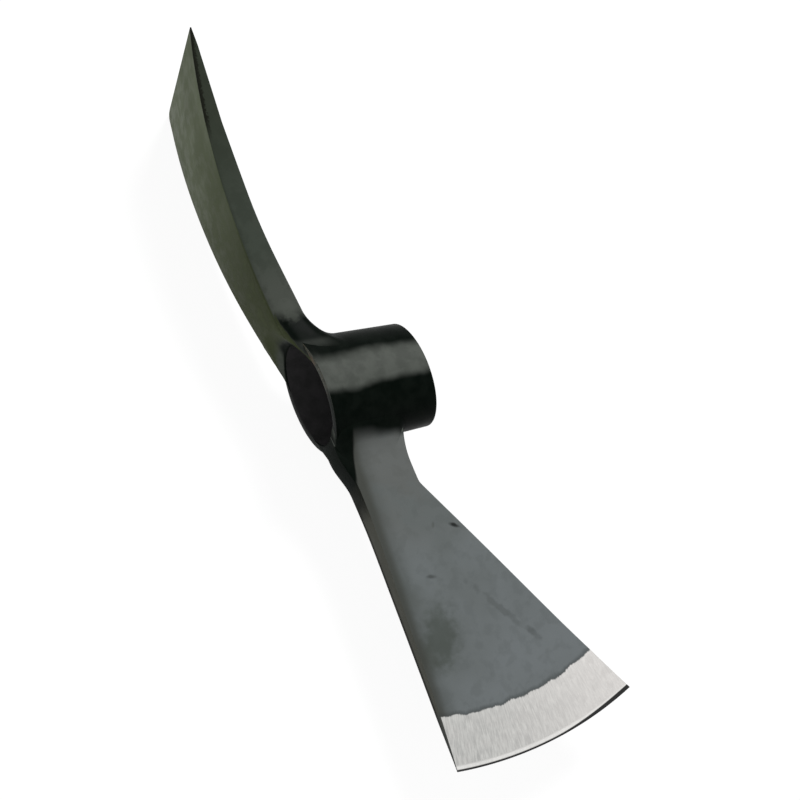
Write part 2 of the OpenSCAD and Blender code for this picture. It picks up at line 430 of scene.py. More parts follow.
seat(eye, "eye_tube")
print("eye seated at", [round(c, 3) for c in eye.location])

# %% [markdown]
# ## Hoe blade
# The hoe is drawn out of a bar: thick at the eye, arched over, and spread to a thin, wide edge. A small
# block is placed inside the eye and its end face is extruded row by row along the arch. Each row takes its
# width and its upper and lower height from the curves of the solid. Beside the mouth of the eye the arch
# falls to the rim.

# %% Draw the curves of the hoe
hoe_edge_x, hoe_bevel, hoe_land, hoe_edge_depth = -145.3, 7, 0.5, 1.25
top_r, top_x, top_y = 330, -66.6, rim_top - 7.2
fall_x, fall_run = -30, 22
hoe_root_x, hoe_root_half, hoe_flare = -42.6, 15.3, 0.1626
spread_x, spread_run, last_spread = -135, 10.3, 1.2


def hoe_half(x):
    """Half of the width, with a last spread at the edge and a slight one towards the eye."""
    spread = last_spread * max((spread_x - x) / spread_run, 0) ** 2
    return hoe_root_half + (hoe_root_x - x) * hoe_flare + spread + 0.9 * smooth((x + 100) / 50)


def hoe_top(x):
    """The arch, which falls to the rim beside the mouth of the eye."""
    fall = min(max((x - fall_x) / fall_run, 0), 1)
    arch = top_y + top_r - math.sqrt(top_r**2 - (min(x, fall_x) - top_x) ** 2)
    return arch * (1 - fall) + (rim_top + 0.1) * fall


level_x, bend_x, bend_r = -108, -80, 215
level_y = rim_top + 1.9
root_fall = math.radians(7.4)
bend_end_x = bend_x + bend_r * math.sin(root_fall)
under_end_y = hoe_top(hoe_edge_x) + hoe_edge_depth
under_slope = (level_y - under_end_y) / (level_x - hoe_edge_x)


def hoe_under(x):
    """Lower height: ground bevel, thin blade, level underside, bend and fall to the eye."""
    if x <= hoe_edge_x + hoe_bevel:
        tip_y = hoe_top(hoe_edge_x) + hoe_land
        return tip_y + (under_end_y + under_slope * hoe_bevel - tip_y) * (x - hoe_edge_x) / hoe_bevel
    if x <= level_x:
        return under_end_y + under_slope * (x - hoe_edge_x)
    if x <= bend_x:
        return level_y
    bend = level_y + bend_r - math.sqrt(bend_r**2 - (min(x, bend_end_x) - bend_x) ** 2)
    return bend + math.tan(root_fall) * max(x - bend_end_x, 0)


for x in (hoe_edge_x, hoe_edge_x + hoe_bevel, level_x, bend_x, -52, fall_x):
    thickness, width = round(hoe_under(x) - hoe_top(x), 1), round(2 * hoe_half(x), 1)
    print("hoe at", x, "is", thickness, "mm thick and", width, "wide")

# %% [markdown]
# One tool draws out a bar from such rows. It also makes the blocks from which the fillets are melted.

# %% Extrude the hoe


def row_centre(row):
    x, _, top, under = row
    return Vector((x, (top + under) / 2, 0)) * mm


def draw_out(name, rows):
    """Extrudes the end of a block through rows of x, half width, upper and lower height in mm."""
    _, half, top, under = rows[0]
    bpy.ops.object.select_all(action="DESELECT")
    bpy.ops.mesh.primitive_cube_add(size=mm, location=row_centre(rows[0]) + Vector((0.5 * mm, 0, 0)))
    bar = bpy.context.object
    bar.name = name
    bpy.ops.object.transform_apply(location=True, rotation=True, scale=True)
    bpy.ops.object.mode_set(mode="EDIT")
    bpy.ops.mesh.select_all(action="SELECT")
    bpy.ops.transform.resize(value=(1, under - top, 2 * half), center_override=row_centre(rows[0]))
    bpy.ops.mesh.select_mode(type="FACE")
    bpy.ops.mesh.select_all(action="DESELECT")
    shape = bmesh.from_edit_mesh(bar.data)
    for face in shape.faces:
        face.select_set(face.normal.x < -0.9)
    bmesh.update_edit_mesh(bar.data)
    for row, following in zip(rows, rows[1:]):
        move = row_centre(following) - row_centre(row)
        bpy.ops.mesh.extrude_region_move(TRANSFORM_OT_translate={"value": move})
        tall = (following[3] - following[2]) / (row[3] - row[2])
        wide = following[1] / row[1]
        bpy.ops.transform.resize(value=(1, tall, wide), center_override=row_centre(following))
    turn_outwards()
    return bar


hoe_places = [-8 - 2 * i for i in range(15)] + [-39 - 3 * i for i in range(33)]
hoe_places += [hoe_edge_x + hoe_bevel, hoe_edge_x]
hoe = draw_out("hoe_bar", [(x, hoe_half(x), hoe_top(x), hoe_under(x)) for x in hoe_places])
print("hoe:", len(hoe_places), "rows,", len(hoe.data.polygons), "faces")

# %% [markdown]
# The ridges are round at the eye, where hammer and grinder went over them, and crisp near the edge. One
# corner of the edge is still sharp and the other is worn round, so that corner is bevelled first.

# %% Round the ridges of the hoe
crisp_r, upper_ridge_r, under_ridge_r, worn_r = 0.2, 2.3, 1.1, 4


def hoe_ridge(a, b):
    """Radius along the four ridges."""
    if abs(a.x - b.x) < 0.05 or a.z * b.z < 0 or max(a.x, b.x) > -9:
        return 0
    middle = (a + b) / 2
    near_eye = min(max((middle.x + 118) / 70, 0), 1) ** 1.5
    upper = middle.y < (hoe_top(middle.x) + hoe_under(middle.x)) / 2
    return crisp_r + (upper_ridge_r if upper else under_ridge_r) * near_eye


pick(hoe)
bpy.ops.object.mode_set(mode="EDIT")
bpy.ops.mesh.select_mode(type="EDGE")
bpy.ops.mesh.select_all(action="DESELECT")
shape = bmesh.from_edit_mesh(hoe.data)
for edge in shape.edges:
    edge.select_set(all(v.co.x < (hoe_edge_x + 0.1) * mm and v.co.z < 0 for v in edge.verts))
bmesh.update_edit_mesh(hoe.data)
bpy.ops.mesh.bevel(offset=worn_r * mm, segments=6, profile=0.5, affect="EDGES", clamp_overlap=False)
bpy.ops.object.mode_set(mode="OBJECT")
round_edges(hoe, hoe_ridge)
print("hoe:", len(hoe.data.polygons), "faces with its ridges")

# %% [markdown]
# ## Fillet round the root of the hoe
# Weld metal fills the corners between the hoe and the eye and is ground to a smooth, hollow curve. Liquid
# metal finds that curve by itself, and so does a fine mesh: a short, spread root with a hollow collar under it
# is joined to the eye, remeshed in small squares and smoothed, until the corner between them has run full.
# Then the hoe and the eye are taken out of it, and the fillet is what is left.

# %% Model the fillet of the hoe


def root_half(x):
    """Half of the width of the root, which spreads in a curve towards the eye."""
    return hoe_half(min(x, -38)) + max(x + 38, 0) ** 2 / 220


collar_y, collar_in, collar_r, block_low = -14.6, 21.7, 12, 14
turns = [math.radians(15 * i) for i in range(7)]
hollow = [(collar_y + collar_r * (1 - math.cos(t)), collar_in + collar_r * (1 - math.sin(t))) for t in turns]
collar = turned_cutter([(-26, collar_in + collar_r)] + hollow)
root_places = [-4 - 2 * i for i in range(28)]
block = draw_out("block", [(x, root_half(x), hoe_top(x), block_low) for x in root_places])
cut(collar, block, "INTERSECT")
throw_away(block)
root_rows = [(x, root_half(x), hoe_top(x), hoe_under(x)) for x in root_places]
hoe_fillet = draw_out("hoe_fillet", root_rows)
round_edges(hoe_fillet, hoe_ridge)
cut(hoe_fillet, collar, "UNION")
throw_away(collar)
melt(hoe_fillet, 60)
cut(hoe_fillet, hoe)
saddle_cut(hoe_fillet)
saddle_cut(hoe)
seat(hoe, "hoe_blade")
seat(hoe_fillet, "hoe_weld")
print("hoe:", len(hoe.data.polygons), "faces, its fillet:", len(hoe_fillet.data.polygons))

# %% [markdown]
# ## Axe blade
# The axe is a wedge that flares from a narrow neck to a curved edge. Its upper and lower side and its
# thickness are curves along the head again.

# %% Draw the curves of the axe
edge_centre = Vector((-4.4, 14.2, 0))
edge_r, edge_width, edge_land = 156, 77.6, 0.25
neck_x, blade_run, bevel_x = 44, 102.7, 128.2
neck_top, neck_low, neck_half = -18.2, 4.5, 5.8
bevel_half, thinning_run, lip_height = 2.4, 88.6, 0.7


def side_round(x):
    """Radius of the long sides in mm: most at the neck and hardly any at the cutting edge."""
    return 0.2 + 3.4 * smooth((138 - x) / 95)


def axe_top(x):
    """Upper side: a line to the corner of the edge, a level neck and a swing up to a little lip on the rim."""
    line = -17.5 - 7.0 * (x - neck_x) / blade_run
    neck = (line + neck_top - math.sqrt((line - neck_top) ** 2 + 0.5**2)) / 2 - 0.24 * side_round(x)
    return neck + (rim_top - lip_height - neck) * (1 - smooth((x - 24) / 15))


def axe_low(x):
    """Lower side: a hollow from the eye, the neck, a tight corner and the flare."""
    sag = math.sin(math.pi * (min(max(x - 50, 0), 97) / 97) ** 2)
    flare = neck_low + 48.5 * (x - neck_x) / blade_run - sag
    corner = math.sqrt((flare - neck_low) ** 2 + 0.4**2)
    return (flare + neck_low + corner) / 2 + max(36 - x, 0) ** 2 / 72


def axe_half(x):
    """Half of the thickness of the blade."""
    return neck_half + (bevel_half - neck_half) * (x - neck_x) / thinning_run


for x in (20, 28, neck_x, 90, bevel_x):
    width, thickness = round(axe_low(x) - axe_top(x), 1), round(2 * axe_half(x), 1)
    print("axe at", x, "is", width, "mm wide and", thickness, "thick")

# %% [markdown]
# One half of the skin starts as the cutting edge itself: a single point at the upper corner, which is spun into
# an arc.

# %% Spin the cutting edge
half_turn = math.asin(edge_width / 2 / edge_r)
corner = edge_centre + Vector((math.cos(half_turn), -math.sin(half_turn), 0)) * edge_r
bpy.ops.object.select_all(action="DESELECT")
bpy.ops.mesh.primitive_plane_add(size=mm, location=(corner + Vector((0, 0, edge_land))) * mm)
axe = bpy.context.object
axe.name = "axe_wedge"
bpy.ops.object.transform_apply(location=True, rotation=True, scale=True)
bpy.ops.object.mode_set(mode="EDIT")
bpy.ops.mesh.select_mode(type="VERT")
bpy.ops.mesh.select_all(action="SELECT")
bpy.ops.mesh.merge(type="CENTER")
bpy.ops.mesh.select_all(action="SELECT")
bpy.ops.mesh.spin(steps=48, angle=-2 * half_turn, center=edge_centre * mm, axis=(0, 0, 1))
bpy.ops.mesh.select_all(action="SELECT")
bpy.ops.object.mode_set(mode="OBJECT")
arc = [v.co / mm for v in axe.data.vertices]
first, last = ([round(c, 1) for c in arc[i]] for i in (0, -1))
print("cutting edge:", len(arc), "points from", first, "to", last)

# %% [markdown]
# The arc is extruded back row by row: over the ground bevel, up the broad face and into the neck, while its bow
# flattens. The half is mirrored, and the two skins are bridged round the outside.

# %% Extrude the axe
bevel_bow = 5.2
bevel_rise = bevel_half - edge_land
edge_bow = edge_r - edge_r * math.cos(half_turn)


def axe_row(x, bow, half):
    return {"x": x, "low": axe_low(x), "top": axe_top(x), "bow": bow, "half": half}


axe_rows = [
    {"x": corner.x, "low": corner.y + edge_width, "top": corner.y, "bow": edge_bow, "half": edge_land},
    axe_row(140.5, 5.0, edge_land + 0.33 * bevel_rise),
    axe_row(134.3, 5.1, edge_land + 0.67 * bevel_rise),
    axe_row(bevel_x, bevel_bow, bevel_half),
]
for i in range(1, 21):
    x, left = bevel_x - 4 * i, 1 - i / 20.5
    axe_rows.append(axe_row(x, bevel_bow * left, axe_half(x + 3 * left)))
for x in (46.5, 45, 44, 43, 41.5, 39, 37, 35.5, 34, 32, 30, 28, 26, 24, 22, 20, 18, 16, 14, 12):
    axe_rows.append(axe_row(x, 0.1, axe_half(x)))
bpy.ops.object.mode_set(mode="EDIT")
for row, following in zip(axe_rows, axe_rows[1:]):
    centre = Vector((row["x"], (row["top"] + row["low"]) / 2, row["half"])) * mm
    target = Vector((following["x"], (following["top"] + following["low"]) / 2, following["half"])) * mm
    bpy.ops.mesh.extrude_region_move(TRANSFORM_OT_translate={"value": target - centre})
    tall = (following["low"] - following["top"]) / (row["low"] - row["top"])
    bpy.ops.transform.resize(value=(following["bow"] / row["bow"], tall, 1), center_override=target)
bpy.ops.mesh.select_all(action="SELECT")
bpy.ops.mesh.duplicate()
bpy.ops.transform.resize(value=(1, 1, -1), center_override=(0, 0, 0))
bridge_open_rings()
turn_outwards()
print("axe:", len(axe.data.polygons), "faces")

# %% [markdown]
# The long sides of the axe are rounded, most of all at the neck.

# %% Round the sides of the axe


def axe_side(a, b):
    """Radius along the four corners of the two sides."""
    middle = (a + b) / 2
    along = abs(a.x - b.x) > 0.3 and a.z * b.z > 0
    on_side = min(abs(middle.y - axe_top(middle.x)), abs(middle.y - axe_low(middle.x))) < 0.35
    return side_round(middle.x) if along and on_side else 0


round_edges(axe, axe_side)
print("axe:", len(axe.data.polygons), "faces with its sides")

# %% [markdown]
# ## Fillets at the root of the axe
# The same hollow fillets run down both faces of the axe, from the same melted corner: the neck swells
# towards the eye, is joined to it and smoothed. The forging is fuller on the lower face, so each face has its
# own hollow. A cut in the middle plane keeps one side of each.

# %% Model the fillets of the axe


def axe_fillet(name, side, start, r, run):
    """Fillet on one face, 1 upper or -1 lower; its hollow of radius r begins at start and ends after run."""
    rows = []
    for x in range(58, 6, -2):
        swell = r - math.sqrt(r**2 - min(max(start - x, 0), run) ** 2)
        rows.append((x, axe_half(max(x, start)) + swell, axe_top(x), axe_low(x)))
    fillet = draw_out(name, rows)
    round_edges(fillet, axe_side)
    melt(fillet, 40)
    cut(fillet, axe)
    bpy.ops.object.mode_set(mode="EDIT")
    bpy.ops.mesh.select_all(action="SELECT")
    bpy.ops.mesh.bisect(plane_co=(0, 0, 0), plane_no=(0, 0, -side), use_fill=True, clear_outer=True)
    bpy.ops.object.mode_set(mode="OBJECT")
    saddle_cut(fillet)
    return fillet


upper_fillet = axe_fillet("axe_fillet_upper", side=1, start=31, r=15, run=12.5)
lower_fillet = axe_fillet("axe_fillet_lower", side=-1, start=40, r=35, run=24.4)
saddle_cut(axe)
seat(axe, "axe_blade")
seat(upper_fillet, "axe_weld_upper")
seat(lower_fillet, "axe_weld_lower")
for piece in (axe, upper_fillet, lower_fillet):
    print(piece.name, "has", len(piece.data.polygons), "faces")

# %% [markdown]
# ## Finishes
# The head has three finishes: black lacquer on the eye, olive scale on the hoe, which is greyer on its
# sides, and slate scale on the axe with a bright, ground edge. They share a few effects, which are built
# once as node groups. All of them work in millimetres of the head itself, so a stain stays where it is
# from every side. First come small tools that keep the node code short.

# %% Make tools for the finishes


def feed(tree, socket, value):
    if isinstance(value, bpy.types.NodeSocket):
        tree.links.new(value, socket)
    else:
        socket.default_value = value


def add(tree, kind, inputs=(), **settings):
    """Adds a node; inputs pairs sockets with values or with the sockets that feed them."""
    node = tree.nodes.new("ShaderNode" + kind)
    for name, value in settings.items():
        setattr(node, name, value)
    for name, value in inputs:
        feed(tree, node.inputs[name], value)
    return node


def calc(tree, operation, *values):
    return add(tree, "Math", enumerate(values), operation=operation).outputs[0]


def ramp(tree, value, low, high, start=0.0, end=1.0):
    """Runs softly from start to end while the value goes from low to high."""
    limits = [("Value", value), ("From Min", low), ("From Max", high), ("To Min", start), ("To Max", end)]
    return add(tree, "MapRange", limits, interpolation_type="SMOOTHSTEP").outputs[0]


def blend(tree, share, first, second):
    """Goes from the first colour to the second."""
    first, second = ((*c, 1) if isinstance(c, tuple) else c for c in (first, second))
    return add(tree, "Mix", [(0, share), (6, first), (7, second)], data_type="RGBA").outputs[2]


def new_group(name, inputs, outputs, kind_out="Float"):
    """Starts a node group; returns its tree, its inputs and its outputs."""
    tree = bpy.data.node_groups.new(name, "ShaderNodeTree")
    for socket, kind in inputs:
        tree.interface.new_socket(socket, in_out="INPUT", socket_type="NodeSocket" + kind)
    for socket in outputs:
        tree.interface.new_socket(socket, in_out="OUTPUT", socket_type="NodeSocket" + kind_out)
    return tree, tree.nodes.new("NodeGroupInput").outputs, tree.nodes.new("NodeGroupOutput").inputs


def use(tree, group, **inputs):
    """Places a node group in a material and returns its outputs."""
    node = add(tree, "Group", node_tree=group)
    for name, value in inputs.items():
        feed(tree, node.inputs[name], value)
    return node.outputs


def noise_at(tree, place, scale, detail):
    return add(tree, "TexNoise", [("Vector", place), ("Scale", scale), ("Detail", detail)]).outputs["Fac"]


def swing(tree, noise, width):
    """Turns noise into a swing to both sides."""
    return calc(tree, "MULTIPLY", calc(tree, "SUBTRACT", noise, 0.5), width)


def parts(tree, vector):
    return add(tree, "SeparateXYZ", [(0, vector)]).outputs


def length_of(tree, a, b):
    squares = (calc(tree, "MULTIPLY", side, side) for side in (a, b))
    return calc(tree, "SQRT", calc(tree, "ADD", *squares))


print("tools for the finishes are ready")

# %% [markdown]
# Scale and lacquer never have one flat colour. The first group gives three sizes of mottling: clouds of a
# few centimetres, spots of a few millimetres and fine grain. The second one tells how far a place is from the
# axis of the eye, because dirt and thick lacquer gather there.

# %% Build the mottling and the reach from the eye
mottling, given, result = new_group("mottling", [("Place", "Vector")], ["Clouds", "Spots", "Grain"])
for name, scale, detail in (("Clouds", 0.045, 3), ("Spots", 0.22, 4), ("Grain", 1.6, 3)):
    noise = noise_at(mottling, given["Place"], scale, detail)
    feed(mottling, result[name], ramp(mottling, noise, 0.3, 0.7))

eye_reach, given, result = new_group("eye_reach", [("Place", "Vector")], ["Reach"])
x, y, z = parts(eye_reach, given["Place"])
off = calc(eye_reach, "SUBTRACT", x, calc(eye_reach, "MULTIPLY", y, math.tan(lean)))
feed(eye_reach, result["Reach"], length_of(eye_reach, off, z))
print("groups:", [g.name for g in bpy.data.node_groups])

# %% [markdown]
# A stain, a nick or a scratch is a soft spot at a place, with a size along and across and a turn. The edge of
# the spot is broken up by noise, so no two look alike.

# %% Build the stain
stain_inputs = [(name, "Vector") for name in ("Place", "Centre", "Size")]
stain_inputs += [(name, "Float") for name in ("Turn", "Ragged")]
stain, given, result = new_group("stain", stain_inputs, ["Mask"])
off = add(stain, "VectorMath", [(0, given["Place"]), (1, given["Centre"])], operation="SUBTRACT").outputs[0]
turned = add(stain, "VectorRotate", [("Vector", off), ("Angle", given["Turn"])], rotation_type="Z_AXIS").outputs[0]
sized = add(stain, "VectorMath", [(0, turned), (1, given["Size"])], operation="DIVIDE").outputs[0]
span = add(stain, "VectorMath", [(0, sized)], operation="LENGTH").outputs["Value"]
wobble = swing(stain, noise_at(stain, given["Place"], 0.3, 2), given["Ragged"])
feed(stain, result["Mask"], ramp(stain, calc(stain, "ADD", span, wobble), 1.0, 0.25))
print("stain has", len(stain.nodes), "nodes")

# %% [markdown]
# The cutting edge of the axe was pressed to a wheel: the scale is gone as far as a hollow curve across the
# blade, with a hairy border, and fine marks run square to the edge. The marks are noise in the angle and the
# distance from the middle of the edge's own circle, drawn out along the distance.

# %% Build the ground edge
edge_outputs = ["Ground", "Border", "Marks", "Strip", "Lip"]
ground_edge, given, result = new_group("ground_edge", [("Place", "Vector")], edge_outputs)
x, y, z = parts(ground_edge, given["Place"])
border_centre, border_r = (28.64, 11.32), 103.3


def steps_from(tree, x, y, centre):
    """Steps from a centre, across and down."""
    return calc(tree, "SUBTRACT", x, centre[0]), calc(tree, "SUBTRACT", y, centre[1])


across, down = steps_from(ground_edge, x, y, edge_centre)
edge_reach = length_of(ground_edge, across, down)
edge_turn = calc(ground_edge, "ARCTAN2", down, across)
border_reach = length_of(ground_edge, *steps_from(ground_edge, x, y, border_centre))
along_edge = calc(ground_edge, "MULTIPLY", edge_turn, edge_r)
short = calc(ground_edge, "MULTIPLY", edge_reach, 0.1)
drawn_out = add(ground_edge, "CombineXYZ", [(0, along_edge), (1, short), (2, z)]).outputs[0]
marks = noise_at(ground_edge, drawn_out, 1.8, 5)
hair = swing(ground_edge, marks, 1.1)
uneven = swing(ground_edge, noise_at(ground_edge, given["Place"], 0.16, 3), 2.6)
border = calc(ground_edge, "ADD", calc(ground_edge, "ADD", border_reach, hair), uneven)
to_edge = calc(ground_edge, "SUBTRACT", edge_r, edge_reach)
feed(ground_edge, result["Ground"], ramp(ground_edge, border, border_r, border_r + 0.6))
feed(ground_edge, result["Border"], ramp(ground_edge, border, border_r - 1.7, border_r))
feed(ground_edge, result["Marks"], ramp(ground_edge, marks, 0.25, 0.75))
feed(ground_edge, result["Strip"], ramp(ground_edge, calc(ground_edge, "ADD", to_edge, hair), 2.4, 1.6))
lip = calc(ground_edge, "SUBTRACT", to_edge, ramp(ground_edge, y, 15.0, 50.0, 0.0, 0.9))
feed(ground_edge, result["Lip"], ramp(ground_edge, lip, 0.95, 0.55))
print("ground edge has", len(ground_edge.nodes), "nodes")

# %% [markdown]
# ## Black lacquer
# The eye was dipped in black lacquer, which runs out over the roots of the blades, so the colour of the
# lacquer is a group too. It is a little uneven, and a grey reflection is painted along the top of the eye as the
# head lies, where it faces up. The painted reflection ends a little way out from the eye.

# %% Build the colour of the lacquer and its painted reflection
reflection_grey, reflection_full, reflection_end = (0.092, 0.100, 0.089), 23.4, 24.4
lacquer_inputs = [("Facing", "Vector"), ("Reach", "Float"), ("Clouds", "Float"), ("Spots", "Float")]
lacquer_and_reflection, given, result = new_group("lacquer_and_reflection", lacquer_inputs, ["Colour"], "Color")
out_x, _, out_z = parts(lacquer_and_reflection, given["Facing"])
black = blend(lacquer_and_reflection, given["Spots"], (0.0015, 0.0030, 0.0020), (0.004, 0.006, 0.0045))
side = calc(lacquer_and_reflection, "ADD", out_x, ramp(lacquer_and_reflection, given["Clouds"], 0.0, 1.0, -0.05, 0.05))
# Painted reflection: a grey band on the lacquer near the eye, where the surface faces up.
painted_reflection = ramp(lacquer_and_reflection, given["Spots"], 0.0, 1.0, 0.75, 0.95)
for low, high, value in ((-0.50, -0.22, side), (0.33, 0.14, side), (0.0, 0.5, out_z)):
    painted_reflection = calc(lacquer_and_reflection, "MULTIPLY", painted_reflection, ramp(lacquer_and_reflection, value, low, high))
painted_reflection = calc(lacquer_and_reflection, "MULTIPLY", painted_reflection, ramp(lacquer_and_reflection, given["Reach"], reflection_end, reflection_full))
feed(lacquer_and_reflection, result["Colour"], blend(lacquer_and_reflection, painted_reflection, black, reflection_grey))
print("colour of the lacquer has", len(lacquer_and_reflection.nodes), "nodes")

# %% [markdown]
# On the cut rim of the eye the lacquer is thin, and grey-brown steel with a little rust shows through. The
# bore is dull and dark. A faint bump makes the lacquer wavy.

# %% Make the finish of the eye


def start_finish(name, gloss):
    """A new finish; returns it with its tree, its shader, the place in mm and the facing of the surface."""
    finish = bpy.data.materials.new(name)
    finish.use_nodes = True
    tree = finish.node_tree
    shader = tree.nodes["Principled BSDF"]
    shader.inputs["Specular IOR Level"].default_value = gloss
    coordinates = add(tree, "TexCoord")
    to_mm = [(0, coordinates.outputs["Object"]), ("Scale", 1 / mm)]
    place = add(tree, "VectorMath", to_mm, operation="SCALE").outputs[0]
    return finish, tree, shader, place, coordinates.outputs["Normal"]


def end_finish(tree, shader, colour, rough, height, depth):
    """Links colour, roughness and a bump of a depth in mm."""
    feed(tree, shader.inputs["Base Color"], colour)
    feed(tree, shader.inputs["Roughness"], rough)
    bump = add(tree, "Bump", [("Height", height), ("Strength", 0.6), ("Distance", depth * mm)])
    feed(tree, shader.inputs["Normal"], bump.outputs["Normal"])


def lacquer_over(tree, shader, lacquered, colour, black):
    """Lays lacquer with a faint coat over a part of a finish and returns the new colour."""
    feed(tree, shader.inputs["Coat Weight"], calc(tree, "MULTIPLY", lacquered, 0.02))
    shader.inputs["Coat Roughness"].default_value = 0.38
    return blend(tree, lacquered, colour, black)


lacquer, tree, shader, place, facing = start_finish("black_lacquer", 0.015)
clouds, spots, grain = use(tree, mottling, Place=place)
reach = use(tree, eye_reach, Place=place)["Reach"]
x, _, z = parts(tree, place)
out_y = parts(tree, facing)["Y"]
# The lacquer colour carries the painted reflection along the top of the eye.
black = use(tree, lacquer_and_reflection, Facing=facing, Reach=reach, Clouds=clouds, Spots=spots)["Colour"]
bore = blend(tree, spots, (0.021, 0.021, 0.021), (0.030, 0.029, 0.030))
in_bore = ramp(tree, reach, 20.6, 20.2)
rim = blend(tree, ramp(tree, grain, 0.4, 1.0), (0.036, 0.040, 0.033), (0.078, 0.075, 0.060))
rim = blend(tree, ramp(tree, spots, 0.6, 1.0, 0.0, 0.6), rim, (0.085, 0.055, 0.034))
on_rim = ramp(tree, calc(tree, "MULTIPLY_ADD", grain, 0.2, out_y), -0.45, -0.75)
worn_part = calc(tree, "MULTIPLY", ramp(tree, z, 1.0, 13.0), ramp(tree, x, 6.0, -1.0))
on_rim = calc(tree, "MULTIPLY", on_rim, worn_part)
colour = blend(tree, on_rim, blend(tree, in_bore, black, bore), rim)
rough = calc(tree, "MULTIPLY_ADD", in_bore, 0.35, ramp(tree, spots, 0.0, 1.0, 0.36, 0.42))
end_finish(tree, shader, colour, rough, calc(tree, "MULTIPLY_ADD", grain, 0.3, spots), 0.05)
print("finish of the eye has", len(tree.nodes), "nodes")

# %% [markdown]
# ## Olive scale of the hoe
# The broad face of the hoe is olive, paler and bluer where it is thin near the edge. The narrow sides are
# greyer, with a painted highlight on them close to the eye. The fillet takes the same finish, so the joint
# doesn't show.

# %% Colour the faces of the hoe
olive, tree, shader, place, facing = start_finish("olive_scale", 0.012)
clouds, spots, grain = use(tree, mottling, Place=place)
reach = use(tree, eye_reach, Place=place)["Reach"]
x, y, z = parts(tree, place)
out_y = parts(tree, facing)["Y"]
face = blend(tree, ramp(tree, x, -118.0, -45.0), (0.098, 0.115, 0.073), (0.035, 0.042, 0.020))
face = blend(tree, ramp(tree, clouds, 0.2, 1.0, 0.0, 0.35), face, (0.034, 0.043, 0.016))
face = blend(tree, ramp(tree, spots, 0.5, 1.0, 0.0, 0.15), face, (0.110, 0.128, 0.080))
flank = blend(tree, ramp(tree, x, -125.0, -55.0), (0.028, 0.034, 0.024), (0.046, 0.055, 0.044))
# Painted highlight: the sides grow lighter between 60 and 40 mm from the axis of the eye.
flank = blend(tree, ramp(tree, x, -60.0, -40.0, 0.0, 0.8), flank, (0.068, 0.074, 0.064))
flank = blend(tree, ramp(tree, spots, 0.3, 1.0, 0.0, 0.25), flank, (0.022, 0.027, 0.020))
on_face = ramp(tree, out_y, -0.72, -0.96)
colour = blend(tree, on_face, flank, face)
print("faces of the hoe:", len(tree.nodes), "nodes")

# %% [markdown]
# The lacquer of the eye runs out over the sides of the root and makes them black, with a faint painted
# highlight streak close to the eye. A dark burr is left along the ridge near the edge.

# %% Lacquer the root of the hoe, paint a highlight streak and leave a burr
run_out = calc(tree, "ADD", reach, ramp(tree, spots, 0.0, 1.0, -1.5, 1.5))
turned_up = calc(tree, "ADD", out_y, ramp(tree, z, -10.0, 0.0, -0.3, 0.0))
lacquered = calc(tree, "MULTIPLY", ramp(tree, run_out, 34.0, 28.5), ramp(tree, turned_up, -0.96, -0.72))
# Painted highlight: a faint streak of the painted reflection on the black fillet close to the eye.
faint_reflection_reach = ramp(tree, reach, 25.0, 23.2, reflection_end, reflection_end - 0.35)
black = use(tree, lacquer_and_reflection, Facing=facing, Reach=faint_reflection_reach, Clouds=clouds, Spots=spots)["Colour"]
colour = lacquer_over(tree, shader, lacquered, colour, black)
ridge = calc(tree, "MULTIPLY_ADD", x, hoe_flare, calc(tree, "SUBTRACT", z, 8.4))
from_crown = calc(tree, "SUBTRACT", x, top_x)
arch = calc(tree, "DIVIDE", calc(tree, "MULTIPLY", from_crown, from_crown), 2.0 * top_r)
depth = calc(tree, "SUBTRACT", y, calc(tree, "ADD", arch, top_y))
burr = calc(tree, "MULTIPLY", ramp(tree, ridge, -0.9, -0.3), ramp(tree, x, -100.0, -112.0, 0.0, 0.95))
burr = calc(tree, "MULTIPLY", burr, ramp(tree, calc(tree, "ADD", depth, grain), 2.3, 1.4))
colour = blend(tree, burr, colour, (0.008, 0.009, 0.006))
rough = ramp(tree, spots, 0.0, 1.0, 0.36, 0.52)
end_finish(tree, shader, colour, rough, calc(tree, "MULTIPLY_ADD", grain, 0.35, spots), 0.04)
print("finish of the hoe has", len(tree.nodes), "nodes")

# %% [markdown]
# ## Slate scale of the axe
# The broad faces of the axe are slate grey and cloudy, a little brown at the neck and paler towards the edge.
# Oily stains, nicks and a faint scratch lie on the upper face, each placed with the stain group.

# %% Colour the faces of the axe
slate, tree, shader, place, facing = start_finish("slate_scale", 0.006)
clouds, spots, grain = use(tree, mottling, Place=place)
reach = use(tree, eye_reach, Place=place)["Reach"]
x, y, z = parts(tree, place)
out_y = parts(tree, facing)["Y"]
colour = blend(tree, clouds, (0.112, 0.124, 0.120), (0.146, 0.162, 0.164))
pale = ramp(tree, calc(tree, "ADD", x, y), 50.0, 150.0, 0.0, 0.65)
colour = blend(tree, pale, colour, (0.172, 0.190, 0.198))
colour = blend(tree, ramp(tree, spots, 0.4, 1.0, 0.0, 0.22), colour, (0.090, 0.100, 0.098))
near_neck = calc(tree, "MULTIPLY", ramp(tree, x, 80.0, 42.0), ramp(tree, clouds, 0.2, 0.9, 0.0, 0.35))
colour = blend(tree, near_neck, colour, (0.085, 0.078, 0.062))
